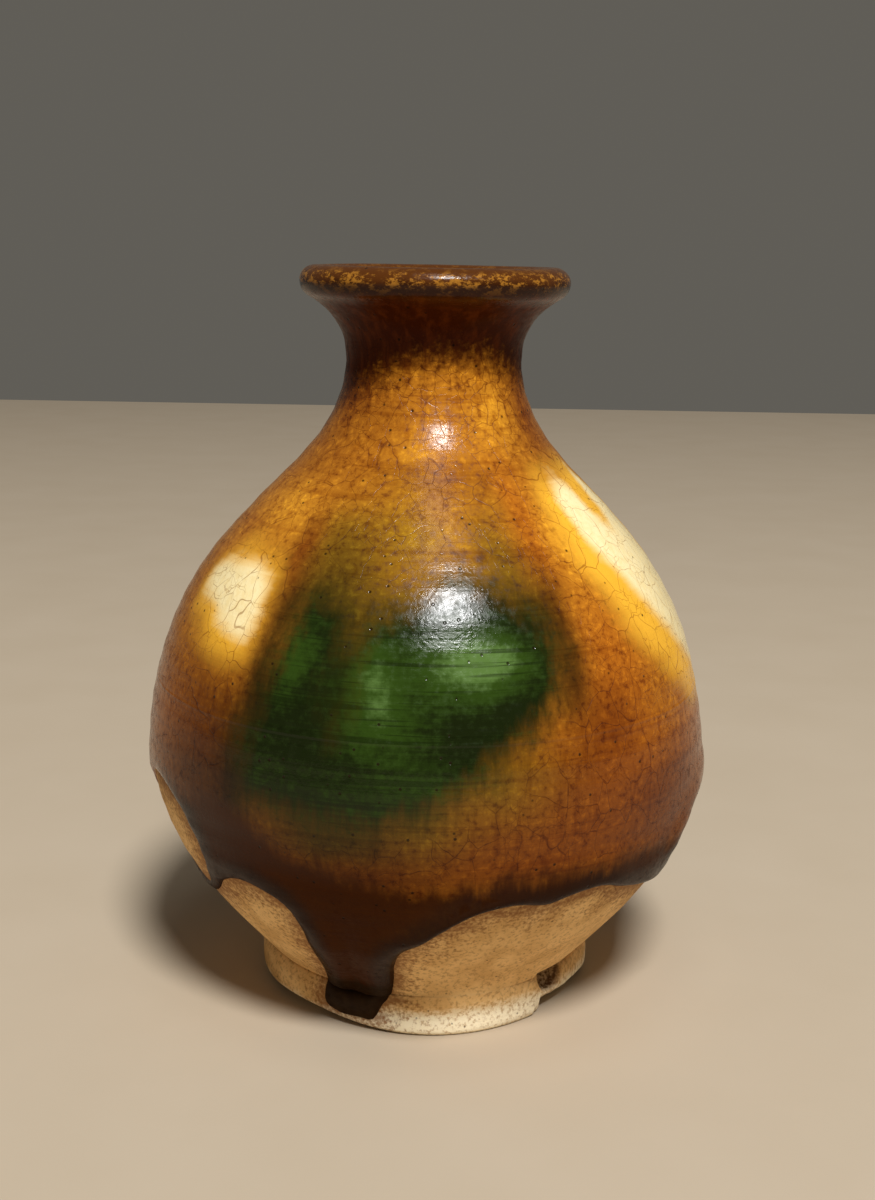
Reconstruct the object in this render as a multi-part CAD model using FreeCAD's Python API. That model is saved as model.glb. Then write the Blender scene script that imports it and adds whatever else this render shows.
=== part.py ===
"""A footed, globular sake bottle of glazed stoneware, written as one STEP file per sub-part.

Millimetres. The origin is the centre of the foot's resting plane, +Z is the bottle's axis,
and the side with the long glaze drip faces -Y. Azimuth 0 is that front, and +90 is +X.
"""
import FreeCAD, Part
import math
import os

from FreeCAD import Vector

# ---- driving dimensions -------------------------------------------------------------------
# The clay, before any glaze.
FOOT_HEIGHT = 7.0           # foot ring, from the resting plane to the luted joint
FOOT_RADIUS = 28.2          # the ring's widest outside radius
FOOT_EDGE_ROUND = 1.1       # how far the resting edge is drawn in
RECESS_RADIUS = 22.0        # hollow inside the foot ring
WAIST_RADIUS = 27.4         # where the ring meets the bowl
BELLY_RADIUS = 46.2         # the widest place
BELLY_HEIGHT = 43.2
SEAM_HEIGHT = 53.4          # the level line where the dome was luted onto the bowl
NECK_ROOT_RADIUS = 17.7     # where the neck was luted onto the dome
NECK_ROOT_HEIGHT = 93.6
THROAT_RADIUS = 13.9        # the narrowest place of the neck
THROAT_HEIGHT = 105.0
LIP_RADIUS = 21.5           # the rolled lip's outermost point
LIP_ROUND = 2.2             # half the lip's thickness
BODY_TOP = 119.6            # the lip's crest
WALL = 3.6                  # clay wall
FLOOR = 4.6                 # clay floor over the foot's hollow

# The glaze.
GLAZE = 0.4                 # outside coat
LINING = 0.3                # inside coat
ROLL_THICKNESS = 1.3        # where the coat ran down and stopped in a thick edge
ROLL_WIDTH = 5.0
DRIP_THICKNESS = 1.5
DRIP_END_HEIGHT = 2.4       # the drip stops this far above the resting plane
NECK_COAT_HEIGHT = 104.5    # lower edge of the brown coat, on the axis
NECK_COAT_TILT = 5.0        # degrees; the edge is lower on the -X side

# Damage to the foot.
CHIP_AZIMUTH = 43.0
CHIP_SWEEP = 34.0
CHIP_HEIGHT = 1.6
CHIP_DEPTH = 4.0
PIT_HEIGHT = 5.6
PIT_RADIUS = 1.7

# Shape of each stretch of wall: (share of its height, share of its change of radius).
FOOT_SHAPE = [(0.00, 0.0), (0.33, 1.0), (0.72, 1.0)]
LOWER_SHAPE = [(0.14, 0.245), (0.34, 0.560), (0.60, 0.845), (0.85, 0.985)]
UPPER_SHAPE = [(0.19, 0.046), (0.38, 0.147), (0.57, 0.333), (0.76, 0.618), (0.92, 0.890)]
NECK_SHAPE = [(0.30, 0.490), (0.63, 0.850)]
FLARE_SHAPE = [(0.30, 0.050), (0.54, 0.200), (0.76, 0.480), (0.91, 0.760)]
MOUTH_SHAPE = [(0.342, 0.060), (0.639, 0.254), (0.899, 0.594)]      # inside the flare

# Lower edge of the coat: (azimuth in degrees, height), the drip left out.
COAT_EDGE = [(-165, 24.5), (-130, 21.5), (-95, 19.0), (-62, 20.0), (-42, 26.5), (-20, 26.0),
             (-4, 21.5), (12, 27.0), (35, 27.8), (62, 23.5), (90, 20.5), (125, 24.0), (160, 27.5)]

# Outlines on the wall, each seen square-on at its azimuth: (across, height).
DRIP_AZIMUTH = -18.0
DRIP_OUTLINE = [(-6.2, 25.0), (-5.6, 16.0), (-7.0, 7.0), (-5.6, DRIP_END_HEIGHT + 0.9),
                (0.0, DRIP_END_HEIGHT), (4.6, DRIP_END_HEIGHT + 1.0), (5.4, 8.0), (7.4, 17.0),
                (11.0, 25.0), (11.5, 33.0), (0.0, 34.0), (-7.2, 33.0)]
GREEN_AZIMUTH = 0.0
GREEN_OUTLINE = [(-22.5, 72.0), (-27.0, 57.0), (-29.0, 45.0), (-21.0, 39.5), (-6.0, 38.0),
                 (9.0, 41.0), (19.0, 48.5), (23.5, 60.0), (19.0, 70.0), (8.0, 73.0),
                 (-6.0, 69.5), (-13.5, 66.5), (-17.0, 72.0)]
CREAM_PATCHES = [
    (-55.0, [(-12.0, 72.5), (-8.0, 68.5), (1.0, 66.5), (9.5, 66.0), (12.0, 70.5), (8.5, 75.5),
             (-2.0, 75.5)]),
    (64.0, [(-13.0, 86.0), (-9.5, 75.0), (-4.0, 66.0), (6.0, 62.0), (14.0, 66.0), (12.0, 76.0),
            (5.0, 78.5), (-2.0, 85.5), (-7.0, 88.0)]),
    (168.0, [(-13.0, 74.0), (-8.0, 64.0), (2.0, 60.5), (11.0, 66.0), (12.0, 76.0), (1.0, 80.0)])]
BARE_AZIMUTH = -72.0
BARE_OUTLINE = [(-11.0, 28.0), (-7.0, 23.0), (2.0, 22.0), (9.5, 25.5), (10.0, 32.0),
                (4.0, 36.5), (-6.0, 35.5)]

# ---- working values -----------------------------------------------------------------------
AXIS = Vector(0, 0, 1)
LIP_CENTRE_RADIUS = LIP_RADIUS - LIP_ROUND
LIP_CENTRE_HEIGHT = BODY_TOP - LIP_ROUND
REACH = 2 * BELLY_RADIUS    # further out than anything
UNDER_LIP_ANGLE = -62.0     # where the flare runs into the round of the lip
INSIDE_LIP_ANGLE = 200.0    # where the inside of the mouth leaves it


def section_point(radius, height):
    """A point of the half section, drawn at the back of the bottle so the seam is there."""
    return Vector(0, radius, height)


def lip_point(angle, extra):
    """A point of the lip's round, thickened by extra."""
    reach = LIP_ROUND + extra
    turn = math.radians(angle)
    radius = LIP_CENTRE_RADIUS + reach * math.cos(turn)
    return section_point(radius, LIP_CENTRE_HEIGHT + reach * math.sin(turn))


def stretch(start, end, shape):
    """The points of one stretch of wall between two (radius, height) ends."""
    wide, tall = end[0] - start[0], end[1] - start[1]
    return [section_point(start[0] + wide * across, start[1] + tall * up) for up, across in shape]


def foot_points():
    start = (FOOT_RADIUS - FOOT_EDGE_ROUND, 0.0)
    end = (FOOT_RADIUS, FOOT_HEIGHT)
    return stretch(start, end, FOOT_SHAPE) + [section_point(WAIST_RADIUS, FOOT_HEIGHT)]


def wall_points():
    """The outside of the clay from the luted foot joint to the underside of the lip."""
    waist = (WAIST_RADIUS, FOOT_HEIGHT)
    belly = (BELLY_RADIUS, BELLY_HEIGHT)
    root = (NECK_ROOT_RADIUS, NECK_ROOT_HEIGHT)
    throat = (THROAT_RADIUS, THROAT_HEIGHT)
    under_lip = lip_point(UNDER_LIP_ANGLE, 0)
    flare_end = (under_lip.y, under_lip.z)
    points = [section_point(*waist)] + stretch(waist, belly, LOWER_SHAPE)
    points += [section_point(*belly)] + stretch(belly, root, UPPER_SHAPE)
    points += [section_point(*root)] + stretch(root, throat, NECK_SHAPE)
    points += [section_point(*throat)] + stretch(throat, flare_end, FLARE_SHAPE)
    return points + [under_lip]


def smooth(points):
    """A smooth curve through the points."""
    curve = Part.BSplineCurve()
    curve.interpolate(points)
    return curve


def offset_points(points, distance):
    """The points moved square to their curve, outwards for a positive distance."""
    curve = smooth(points)
    moved = []
    for point in points:
        tangent = curve.tangent(curve.parameter(point))[0]
        moved.append(point + Vector(0, tangent.z, -tangent.y) * distance)
    return moved


def turned(edges):
    """The solid that a closed half section makes when it is turned about the axis."""
    return Part.Face(Part.Wire(edges)).revolve(Vector(), AXIS, 360)


def polyline(*points):
    return [Part.makeLine(a, b) for a, b in zip(points, points[1:])]


def filled_body(extra):
    """The bottle as if it had no hollow, thickened by extra."""
    wall = offset_points(wall_points(), extra)
    wall[0] = section_point(WAIST_RADIUS + extra, FOOT_HEIGHT)
    wall[-1] = lip_point(UNDER_LIP_ANGLE, extra)
    lip_end = lip_point(INSIDE_LIP_ANGLE, extra)
    lip = Part.Arc(wall[-1], lip_point(60.0, extra), lip_end)
    closing = polyline(lip_end, section_point(0, lip_end.z), section_point(0, FOOT_HEIGHT), wall[0])
    return turned([smooth(wall).toShape(), lip.toShape()] + closing)


def filled_foot(extra):
    """The foot as a solid disc, thickened by extra."""
    side = [point + Vector(0, extra, 0) for point in foot_points()]
    closing = polyline(side[-1], section_point(0, FOOT_HEIGHT), Vector(), side[0])
    return turned([smooth(side).toShape()] + closing)


def hollow(lining):
    """The space inside the clay, made smaller all round by a lining."""
    floor_height = FOOT_HEIGHT + FLOOR + lining
    flat = section_point(WAIST_RADIUS - WALL - FLOOR - lining, floor_height)
    to_throat = offset_points(wall_points(), -WALL - lining)[:-len(FLARE_SHAPE) - 1]
    inside = [point for point in to_throat if point.z > floor_height + WALL]
    lip_start = lip_point(INSIDE_LIP_ANGLE, 0) - Vector(0, lining, 0)
    throat = (to_throat[-1].y, to_throat[-1].z)
    mouth = stretch(throat, (lip_start.y, lip_start.z), MOUTH_SHAPE)
    side = [flat] + inside + mouth + [lip_start]
    top = section_point(0, lip_start.z)
    closing = polyline(lip_start, top, section_point(0, floor_height), flat)
    return turned([smooth(side).toShape()] + closing)


def disc(low, high):
    return Part.makeCylinder(REACH, high - low, Vector(0, 0, low))


def outline_block(azimuth, outline):
    """A block with a smooth outline, standing square to the wall at its azimuth."""
    points = [Vector(across, -WAIST_RADIUS / 2, height) for across, height in outline]
    curve = Part.BSplineCurve()
    curve.interpolate(points, PeriodicFlag=True)
    block = Part.Face(Part.Wire(curve.toShape())).extrude(Vector(0, -REACH, 0))
    return block.rotate(Vector(), AXIS, azimuth)


def below_coat_edge(raise_by):
    """Everything below the coat's wandering lower edge, raised by a distance."""
    rings = []
    for radius in (WAIST_RADIUS - WALL, BELLY_RADIUS + WALL):
        points = []
        for azimuth, height in COAT_EDGE:
            turn = math.radians(azimuth)
            points.append(Vector(radius * math.sin(turn), -radius * math.cos(turn), height + raise_by))
        curve = Part.BSplineCurve()
        curve.interpolate(points, PeriodicFlag=True)
        rings.append(curve.toShape())
    return Part.makeRuledSurface(rings[0], rings[1]).extrude(Vector(0, 0, -2 * BELLY_HEIGHT))


def above_neck_edge():
    """Everything above the brown coat's tilted lower edge."""
    block = Part.makeCylinder(REACH, REACH, Vector(0, 0, NECK_COAT_HEIGHT))
    return block.rotate(Vector(0, 0, NECK_COAT_HEIGHT), Vector(0, 1, 0), -NECK_COAT_TILT)


# ---- clay ---------------------------------------------------------------------------------
def clay_wall():
    return filled_body(0).cut(hollow(0))


def foot_ring():
    """The luted ring with the flake lost from its resting edge and the pit above it."""
    ring = filled_foot(0).cut(Part.makeCylinder(RECESS_RADIUS, FOOT_HEIGHT))
    flake = Part.makeCylinder(REACH, 2 * CHIP_HEIGHT, Vector(0, 0, -CHIP_HEIGHT), AXIS, CHIP_SWEEP)
    flake = flake.cut(Part.makeCylinder(FOOT_RADIUS - CHIP_DEPTH, CHIP_HEIGHT))
    flake = flake.rotate(Vector(), AXIS, CHIP_AZIMUTH - 90)
    pit = Part.makeSphere(PIT_RADIUS, Vector(0, -FOOT_RADIUS, PIT_HEIGHT))
    pit = pit.rotate(Vector(), AXIS, CHIP_AZIMUTH)
    return ring.cut(flake).cut(pit)


def lower_bowl(clay):
    return clay.common(disc(0, SEAM_HEIGHT))


def upper_dome(clay):
    return clay.common(disc(SEAM_HEIGHT, NECK_ROOT_HEIGHT))


def neck_and_mouth(clay):
    return clay.common(disc(NECK_ROOT_HEIGHT, BODY_TOP + 1))


# ---- glaze --------------------------------------------------------------------------------
def inner_glaze():
    """The lining that makes the bottle hold liquid."""
    return hollow(0).cut(hollow(LINING))


def coat(thickness):
    """A coat over the whole outside wall and the lip."""
    return filled_body(thickness).cut(filled_body(0)).cut(hollow(0))


def glaze_drip():
    """The tongue of glaze that ran over the foot and stopped just above its edge."""
    shell = filled_body(DRIP_THICKNESS).cut(filled_body(0))
    shell = shell.fuse(filled_foot(DRIP_THICKNESS).cut(filled_foot(0)))
    return shell.common(outline_block(DRIP_AZIMUTH, DRIP_OUTLINE)).removeSplitter()


def glaze_roll(drip_block, bare_block):
    """The thick edge where the coat stopped running."""
    band = coat(ROLL_THICKNESS).common(below_coat_edge(ROLL_WIDTH)).cut(below_coat_edge(0))
    return band.cut(drip_block).cut(bare_block)


def write(name, shape):
    solids = shape.Solids
    for solid in solids:
        if not solid.isValid():
            raise ValueError(name + " is not a valid solid")
    kept = solids[0] if len(solids) == 1 else Part.makeCompound(solids)
    kept.exportStep("parts/" + name + ".step")
    box = kept.BoundBox
    print(name, len(solids), "solid(s)", round(kept.Volume, 1), "mm3",
          [round(v, 2) for v in (box.XMin, box.XMax, box.YMin, box.YMax, box.ZMin, box.ZMax)])


def main():
    os.makedirs("parts", exist_ok=True)
    clay = clay_wall()
    write("foot_ring", foot_ring())
    write("lower_bowl", lower_bowl(clay))
    write("upper_dome", upper_dome(clay))
    write("neck_and_mouth", neck_and_mouth(clay))
    write("inner_glaze", inner_glaze())

    drip_block = outline_block(DRIP_AZIMUTH, DRIP_OUTLINE)
    bare_block = outline_block(BARE_AZIMUTH, BARE_OUTLINE)
    green_block = outline_block(GREEN_AZIMUTH, GREEN_OUTLINE)
    cream_blocks = [outline_block(azimuth, outline) for azimuth, outline in CREAM_PATCHES]
    outside = coat(GLAZE)
    neck_edge = above_neck_edge()
    write("brown_neck_glaze", outside.common(neck_edge))
    body_coat = outside.cut(neck_edge).cut(below_coat_edge(ROLL_WIDTH))
    body_coat = body_coat.cut(bare_block).cut(drip_block)
    write("green_glaze", body_coat.common(green_block))
    amber = body_coat.cut(green_block)
    write("cream_glaze", Part.makeCompound([amber.common(block) for block in cream_blocks]))
    for block in cream_blocks:
        amber = amber.cut(block)
    write("amber_glaze", amber)
    write("glaze_roll", glaze_roll(drip_block, bare_block))
    write("glaze_drip", glaze_drip())

    held = hollow(LINING).common(disc(0, THROAT_HEIGHT))
    print("holds", round(held.Volume / 1000), "ml to the throat")


main()
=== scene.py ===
# %% [markdown]
# # A glazed sake bottle
# A small thrown bottle: a round belly on a luted foot ring, a narrow neck and a rolled lip. Lead
# glazes in amber, green, cream and iron brown were poured over it. They ran while they were molten
# and stopped in a thick dark edge above the bare clay, with one long drip down over the foot.
# Everything here is turned from a few outlines, because that is how the potter made it. The glaze
# is a second skin over the clay, as thick as the run glaze is, so its rolled edge is real geometry.

# %% Load the frame that every piece is made around
import math

import bmesh
import bpy
import numpy as np
from mathutils import Matrix, Vector, noise


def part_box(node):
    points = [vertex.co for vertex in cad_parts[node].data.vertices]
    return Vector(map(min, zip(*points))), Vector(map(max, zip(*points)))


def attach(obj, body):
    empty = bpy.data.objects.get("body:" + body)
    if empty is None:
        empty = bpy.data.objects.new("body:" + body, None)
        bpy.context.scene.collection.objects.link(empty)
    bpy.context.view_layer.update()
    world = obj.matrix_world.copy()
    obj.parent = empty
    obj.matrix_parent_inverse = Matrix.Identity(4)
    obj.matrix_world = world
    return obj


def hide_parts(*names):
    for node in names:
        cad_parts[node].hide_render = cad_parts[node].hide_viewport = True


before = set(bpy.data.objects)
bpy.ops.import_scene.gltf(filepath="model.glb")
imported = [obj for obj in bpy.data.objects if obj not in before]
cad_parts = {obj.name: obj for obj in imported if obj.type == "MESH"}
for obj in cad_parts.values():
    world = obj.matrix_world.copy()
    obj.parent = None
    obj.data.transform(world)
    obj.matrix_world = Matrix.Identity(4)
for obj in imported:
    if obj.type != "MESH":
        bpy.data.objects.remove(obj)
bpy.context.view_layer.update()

MM = 0.001

# %% [markdown]
# ## The camera
# The bottle is looked at from a little above its own height and from close by, so the lip is seen
# edge-on while the foot is seen from above. The camera is made first, because every later choice is
# judged through it.

# %% The camera
CAMERA_PLACE = (0.0, -0.2713, 0.1237)
CAMERA_PITCH = math.radians(12.23)
CAMERA_YAW = math.radians(0.28)
CAMERA_ROLL = math.radians(0.99)
CAMERA_LENS = 49.5

camera_data = bpy.data.cameras.new("camera")
camera_data.lens = CAMERA_LENS
camera_data.sensor_width = 36.0
camera_data.clip_start = 0.01
camera = bpy.data.objects.new("camera", camera_data)
aim = Matrix.Rotation(-CAMERA_YAW, 4, "Z") @ Matrix.Rotation(math.pi / 2 - CAMERA_PITCH, 4, "X")
camera.matrix_world = Matrix.Translation(CAMERA_PLACE) @ aim @ Matrix.Rotation(CAMERA_ROLL, 4, "Z")
bpy.context.scene.collection.objects.link(camera)
bpy.context.scene.camera = camera
bpy.context.scene.view_settings.view_transform = "Standard"

# %% [markdown]
# ## The outline of the clay
# A thrown pot is one outline turned about its axis. The outline is held as a few stretches between
# the places that matter: the waist above the foot, the belly, the root of the neck, the throat and
# the lip. Where the frame knows a size, it is read from the frame, so the clay fits its solids.

# %% Sizes from the frame, in millimetres
def corner(node, which, axis):
    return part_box(node)[which][axis] / MM


FOOT_TOP = corner("foot_ring", 1, 2)
BELLY_RADIUS = corner("lower_bowl", 1, 0)
SEAM_HEIGHT = corner("lower_bowl", 1, 2)
ROOT_HEIGHT = corner("upper_dome", 1, 2)
LIP_RADIUS = corner("neck_and_mouth", 1, 0)
CLAY_TOP = corner("neck_and_mouth", 1, 2)
FLOOR_HEIGHT = corner("inner_glaze", 0, 2)
WAIST_RADIUS = 27.4
BELLY_HEIGHT = 43.2
ROOT_RADIUS = 17.7
THROAT_RADIUS = 13.9
THROAT_HEIGHT = 105.0
LIP_ROUND = 2.2
WALL = 3.6
print("belly", round(BELLY_RADIUS, 2), "seam", round(SEAM_HEIGHT, 2), "lip", round(LIP_RADIUS, 2))


# %% Smooth lines through a few points
def flowing(points, spacing, closed=False):
    """Evenly spaced points on a smooth line through a few chosen ones."""
    knots = np.array(points, float)
    if closed:
        knots = np.vstack([knots, knots[:1]])
    gaps = np.maximum(np.linalg.norm(np.diff(knots, axis=0), axis=1), 1e-9)
    along = np.concatenate([[0], np.cumsum(gaps)])
    chords = np.diff(knots, axis=0) / gaps[:, None]
    slopes = np.empty_like(knots)
    weight = (gaps[1:] / (gaps[1:] + gaps[:-1]))[:, None]
    slopes[1:-1] = chords[:-1] * weight + chords[1:] * (1 - weight)
    slopes[0], slopes[-1] = chords[0], chords[-1]
    if closed:
        slopes[0] = slopes[-1] = (chords[0] + chords[-1]) / 2
    count = max(2, int(round(along[-1] / spacing)) + 1)
    where = np.linspace(0, along[-1], count)
    span = np.clip(np.searchsorted(along, where, side="right") - 1, 0, len(gaps) - 1)
    step = ((where - along[span]) / gaps[span])[:, None]
    length = gaps[span][:, None]
    line = (knots[span] * (1 + 2 * step) * (1 - step) ** 2 + slopes[span] * length * step * (1 - step) ** 2
            + knots[span + 1] * step ** 2 * (3 - 2 * step)
            + slopes[span + 1] * length * step ** 2 * (step - 1))
    return line[:-1] if closed else line


def square_to(line):
    """The direction square to a line at each of its points, outwards when the line climbs."""
    tangent = np.gradient(line, axis=0)
    tangent /= np.linalg.norm(tangent, axis=1)[:, None]
    return np.stack([tangent[:, 1], -tangent[:, 0]], axis=1)


# %% The outside of the clay, from the waist to the underside of the lip
def stretch(start, end, shape):
    return [(start[0] + (end[0] - start[0]) * across, start[1] + (end[1] - start[1]) * up)
            for up, across in shape]


def lip_place(angle, reach):
    turn = math.radians(angle)
    return (LIP_RADIUS - LIP_ROUND + reach * math.cos(turn), CLAY_TOP - LIP_ROUND + reach * math.sin(turn))


WAIST = (WAIST_RADIUS, FOOT_TOP)
BELLY = (BELLY_RADIUS, BELLY_HEIGHT)
ROOT = (ROOT_RADIUS, ROOT_HEIGHT)
THROAT = (THROAT_RADIUS, THROAT_HEIGHT)
UNDER_LIP = lip_place(-62, LIP_ROUND)
IN_LIP = lip_place(200, LIP_ROUND)

OUTSIDE = [WAIST] + stretch(WAIST, BELLY, [(0.14, 0.245), (0.34, 0.560), (0.60, 0.845), (0.85, 0.985)])
OUTSIDE += [BELLY] + stretch(BELLY, ROOT, [(0.19, 0.046), (0.38, 0.147), (0.57, 0.333), (0.76, 0.618),
                                           (0.92, 0.890)])
OUTSIDE += [ROOT] + stretch(ROOT, THROAT, [(0.30, 0.490), (0.63, 0.850)])
OUTSIDE += [THROAT] + stretch(THROAT, UNDER_LIP, [(0.30, 0.050), (0.54, 0.200), (0.76, 0.480), (0.91, 0.760)])
OUTSIDE += [UNDER_LIP]

outside_line = flowing(OUTSIDE, 0.6)
inside_line = outside_line - square_to(outside_line) * WALL
lip_line = np.array([lip_place(angle, LIP_ROUND) for angle in range(-62, 201, 12)])


def part_of(line, low, high, every=2):
    """The points of a line between two heights, with both ends put exactly on them."""
    radius_low = np.interp(low, line[:, 1], line[:, 0])
    radius_high = np.interp(high, line[:, 1], line[:, 0])
    kept = line[(line[:, 1] > low + 0.3) & (line[:, 1] < high - 0.3)][::every]
    return np.vstack([[radius_low, low], kept, [radius_high, high]])


print("outline points", len(outside_line), "waist to lip")

# %% [markdown]
# ## Turning an outline
# `bmesh.ops.spin` is Blender's lathe. The outline starts at the back of the bottle, so that the place
# where the turn closes is out of sight. The ends are merged, points on the axis are merged to one,
# and then the normals are worked out afresh, because a spin may turn a shape inside out.

# %% The lathe
def turn(outline, steps, closed=True):
    """A bmesh turned from a list of (radius, height) in millimetres."""
    bm = bmesh.new()
    verts = [bm.verts.new((0, radius * MM, height * MM)) for radius, height in outline]
    for first, second in zip(verts, verts[1:]):
        bm.edges.new((first, second))
    if closed:
        bm.edges.new((verts[-1], verts[0]))
    bmesh.ops.spin(bm, geom=bm.verts[:] + bm.edges[:], cent=(0, 0, 0), axis=(0, 0, 1), dvec=(0, 0, 0),
                   angle=math.tau, steps=steps, use_merge=True, use_duplicate=False)
    bmesh.ops.remove_doubles(bm, verts=bm.verts[:], dist=0.002 * MM)
    bmesh.ops.recalc_face_normals(bm, faces=bm.faces[:])
    return bm


def refine(bm, near, limit, times):
    """Cuts up the faces whose corners lie near a feature: near gives each place's distance in mm."""
    for _ in range(times):
        bm.verts.ensure_lookup_table()
        places = np.array([v.co for v in bm.verts]) / MM
        close = np.abs(near(places)) < limit
        for index, vert in enumerate(bm.verts):
            vert.tag = bool(close[index])
        edges = [e for e in bm.edges if e.verts[0].tag and e.verts[1].tag]
        bmesh.ops.subdivide_edges(bm, edges=edges, cuts=1, use_grid_fill=True)


def make_piece(bm, name, sharp_angle=42):
    """Turns a bmesh into a piece of the bottle that rides on the frame."""
    for face in bm.faces:
        face.smooth = True
    for edge in bm.edges:
        edge.smooth = edge.calc_face_angle(0) < math.radians(sharp_angle)
    mesh = bpy.data.meshes.new(name)
    bm.to_mesh(mesh)
    bm.free()
    piece = bpy.data.objects.new(name, mesh)
    bpy.context.scene.collection.objects.link(piece)
    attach(piece, "root")
    print(name, len(mesh.vertices), "vertices", len(mesh.polygons), "faces")
    return piece


def places_of(mesh):
    flat = np.empty(len(mesh.vertices) * 3)
    mesh.vertices.foreach_get("co", flat)
    return flat.reshape(-1, 3) / MM


def move_to(mesh, places):
    mesh.vertices.foreach_set("co", (places * MM).ravel())
    mesh.update()


# %% [markdown]
# ## The potter's hand
# No thrown pot is a true solid of revolution. This one's belly leans a little to one side of its
# neck, it is slightly oval, its lower wall was trimmed with a knife, and the fingers left shallow
# rings. At the front the foot's joint was filled and smoothed over, and the resting edge flares a
# little. One function bends every piece in the same way, so that the clay and its glaze stay together.

# %% One bend for all pieces
def bell(value, centre, width):
    return np.exp(-((value - centre) / width) ** 2)


def azimuth_of(places):
    """Degrees round the bottle: 0 at the front, 90 at the right."""
    return np.degrees(np.arctan2(places[:, 0], -places[:, 1]))


def turned_by(azimuth, centre):
    """How far round each azimuth is from a centre, between -180 and 180 degrees."""
    return (azimuth - centre + 180) % 360 - 180


FOOT_RADIUS = 28.2
OUTSIDE_FROM = 25.0  # points nearer the axis than this stay where they are at the foot
JOINT_HEIGHT = 7.0
FLARE, FLARE_HEIGHT = 1.7, 3.4  # how far the resting edge flares, and from what height
FILLET, FILLET_HEIGHT = 1.2, 3.2  # how far the joint is filled out, and how tall the filling is


def bend_by_hand(places):
    x, y, height = places.T
    azimuth = np.radians(azimuth_of(places))
    radius = np.hypot(x, y)
    belly = bell(height, 52, 26)
    grow = 0.12 * belly * np.cos(2 * azimuth - 0.9)
    grow += 0.05 * np.sin(height * 1.55 + 0.5 * np.sin(azimuth)) * np.clip((height - 12) / 12, 0, 1)
    grow += 0.16 * bell(height, 28, 11) * np.cos(5 * azimuth + 0.8)
    grow += 0.10 * bell(height, 100, 12) * np.cos(3 * azimuth + 2.0)
    front = bell(np.degrees(azimuth), 7, 36) * np.clip((42 - np.degrees(azimuth)) / 2, 0, 1)
    outside = np.clip(radius - OUTSIDE_FROM, 0, 1)
    lag = np.clip(FOOT_RADIUS - radius, 0, 1.4) * outside
    grow += lag * bell(height, JOINT_HEIGHT, 3.0) * np.clip(height - JOINT_HEIGHT + 1.05, 0, 1) * front
    grow += FLARE * np.clip(1 - height / FLARE_HEIGHT, 0, 1) * outside * front
    grow += FILLET * bell(height, JOINT_HEIGHT + 0.2, FILLET_HEIGHT) * outside * front
    scale = 1 + grow / np.maximum(radius, 8.0)
    moved = np.stack([x * scale, y * scale, height], axis=1)
    moved[:, 0] -= 0.30 * belly
    return moved


# %% [markdown]
# ## Where the glaze ends
# The coat's lower edge wanders: it hangs low where the glaze was thick, and one run went all the way
# down over the foot. The edge is drawn once, as degrees round the bottle and height in millimetres,
# and everything that depends on it (the coat's thickness, the stain on the clay below it, the dark
# colour of the run) reads the distance to this line.

# %% The coat's edge and the bare places
MM_PER_DEGREE = 0.70
COAT_EDGE = [
    (-180, 26), (-160, 24.5), (-145, 20.5), (-130, 19.5), (-115, 21.5), (-98, 23), (-84, 20.5), (-72, 19.4),
    (-62, 20.0), (-55, 22.3), (-49, 25.4), (-41, 27.2), (-35, 26.6), (-31.2, 25.4), (-29.2, 22.5),
    (-29.6, 16.0), (-30.6, 10.5), (-33.4, 6.2), (-33.6, 3.4), (-29, 2.3), (-21, 2.1), (-15.6, 2.3),
    (-13.2, 4.6), (-10.4, 6.6), (-8.8, 10), (-7.6, 14.5), (-5.0, 18.2), (-0.5, 20.8), (4, 24.0),
    (9.5, 26.8), (17, 27.8), (26, 26.9), (31.5, 27.9), (38, 28.2), (45, 26.6), (58, 24.0), (68, 22.2),
    (80, 21.2), (95, 23.4), (110, 26.2), (124, 24.0), (134, 18.0), (141, 15.6), (148, 18.4), (158, 24.4),
    (170, 26.4)]
BARE_PLACES = [
    (-70, [(-15, 30), (-10, 22.8), (0, 21.2), (9, 21.8), (14, 25), (16.6, 30.5), (13, 36.6), (4, 39.2),
           (-8, 37.5)]),
    (79, [(-12, 28.2), (-9, 25.2), (0, 24.2), (9, 26), (12, 32), (4, 37), (-8, 35)])]


def signed_distance(across, height, outline):
    """How far each place lies inside a closed outline, in millimetres, and negative outside it."""
    nearest = np.full(len(across), 1e9)
    inside = np.zeros(len(across), bool)
    for (x0, y0), (x1, y1) in zip(outline, np.roll(outline, -1, axis=0)):
        run, rise = x1 - x0, y1 - y0
        share = ((across - x0) * run + (height - y0) * rise) / (run * run + rise * rise + 1e-12)
        share = np.clip(share, 0, 1)
        nearest = np.minimum(nearest, (across - x0 - share * run) ** 2 + (height - y0 - share * rise) ** 2)
        if y0 != y1:
            crossing = x0 + (height - y0) * run / rise
            inside ^= ((y0 > height) != (y1 > height)) & (across < crossing)
    return np.where(inside, 1, -1) * np.sqrt(nearest)


def patch_distance(places, centre, outline, spacing=2.0):
    """Distance inside an outline given as (degrees from its centre, height)."""
    across = turned_by(azimuth_of(places), centre) * MM_PER_DEGREE
    shape = flowing([(degrees * MM_PER_DEGREE, height) for degrees, height in outline], spacing, closed=True)
    return signed_distance(across, places[:, 2], shape)


def coat_outline():
    """The area above the edge, as one closed outline that overlaps itself at the back."""
    turns = [(azimuth + shift, height) for shift in (-360, 0, 360) for azimuth, height in COAT_EDGE]
    kept = [(azimuth * MM_PER_DEGREE, height) for azimuth, height in turns if abs(azimuth) < 215]
    line = flowing(kept, 1.2)
    far = 400.0
    return np.vstack([line, [[line[-1, 0], far], [line[0, 0], far]]])


coat_shape = coat_outline()


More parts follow.
